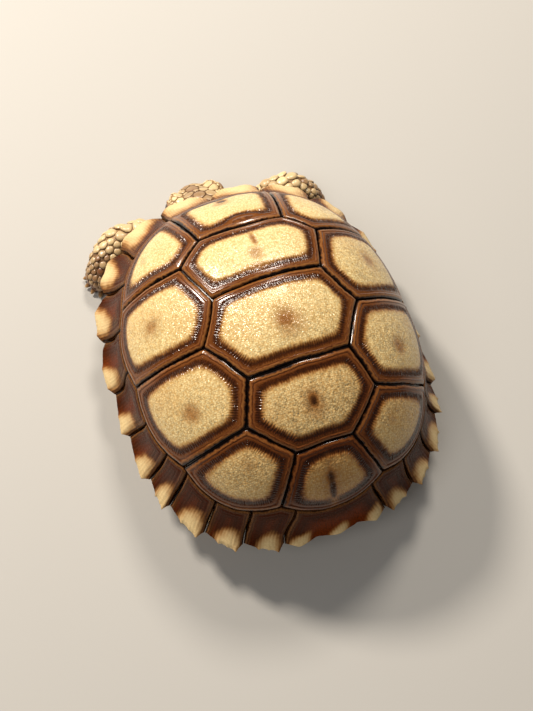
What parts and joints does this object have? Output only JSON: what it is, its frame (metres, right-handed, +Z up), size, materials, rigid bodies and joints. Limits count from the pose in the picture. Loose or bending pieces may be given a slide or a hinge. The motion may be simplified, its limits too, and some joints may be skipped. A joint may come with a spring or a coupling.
{
  "type": "young sulcata tortoise",
  "caption": "Life-size young sulcata tortoise resting on its plastron: domed shell of ridged scutes with a toothed rim, front legs out to the sides and head low under the front of the shell.",
  "frame": {"origin": "on the floor, under the middle of the whole animal's box", "axes": "+Y runs from the head to the tail, +Z is up and +X is the animal's own left"},
  "size_m": [0.0552, 0.0716, 0.0321],
  "materials": {
    "dome_scute": "glossy keratin, straw yellow with brown growth bands",
    "rim_scute": "glossy keratin, dark brown with pale horn tips",
    "plastron_scute": "satin keratin, pale horn",
    "skin": "matt scaly skin, tan with yellow scales",
    "shell_lining": "matt, nearly black brown",
    "eye": "wet gloss, dark brown"
  },
  "bodies": {
    "root": {"abdominal_left": "plastron_scute", "abdominal_right": "plastron_scute", "anal_left": "plastron_scute", "anal_right": "plastron_scute", "costal_left_1": "dome_scute", "costal_left_2": "dome_scute", "costal_left_3": "dome_scute", "costal_left_4": "dome_scute", "costal_right_1": "dome_scute", "costal_right_2": "dome_scute", "costal_right_3": "dome_scute", "costal_right_4": "dome_scute", "eye_left": "eye", "eye_right": "eye", "femoral_left": "plastron_scute", "femoral_right": "plastron_scute", "gular_left": "plastron_scute", "gular_right": "plastron_scute", "head": "skin", "humeral_left": "plastron_scute", "humeral_right": "plastron_scute", "leg_front_left": "skin", "leg_front_right": "skin", "leg_hind_left": "skin", "leg_hind_right": "skin", "marginal_left_1": "rim_scute", "marginal_left_10": "rim_scute", "marginal_left_11": "rim_scute", "marginal_left_2": "rim_scute", "marginal_left_3": "rim_scute", "marginal_left_4": "rim_scute", "marginal_left_5": "rim_scute", "marginal_left_6": "rim_scute", "marginal_left_7": "rim_scute", "marginal_left_8": "rim_scute", "marginal_left_9": "rim_scute", "marginal_right_1": "rim_scute", "marginal_right_10": "rim_scute", "marginal_right_11": "rim_scute", "marginal_right_2": "rim_scute", "marginal_right_3": "rim_scute", "marginal_right_4": "rim_scute", "marginal_right_5": "rim_scute", "marginal_right_6": "rim_scute", "marginal_right_7": "rim_scute", "marginal_right_8": "rim_scute", "marginal_right_9": "rim_scute", "neck": "skin", "pectoral_left": "plastron_scute", "pectoral_right": "plastron_scute", "supracaudal": "rim_scute", "tail": "skin", "trunk": "shell_lining", "vertebral_1": "dome_scute", "vertebral_2": "dome_scute", "vertebral_3": "dome_scute", "vertebral_4": "dome_scute", "vertebral_5": "dome_scute"}
  },
  "joints": []
}
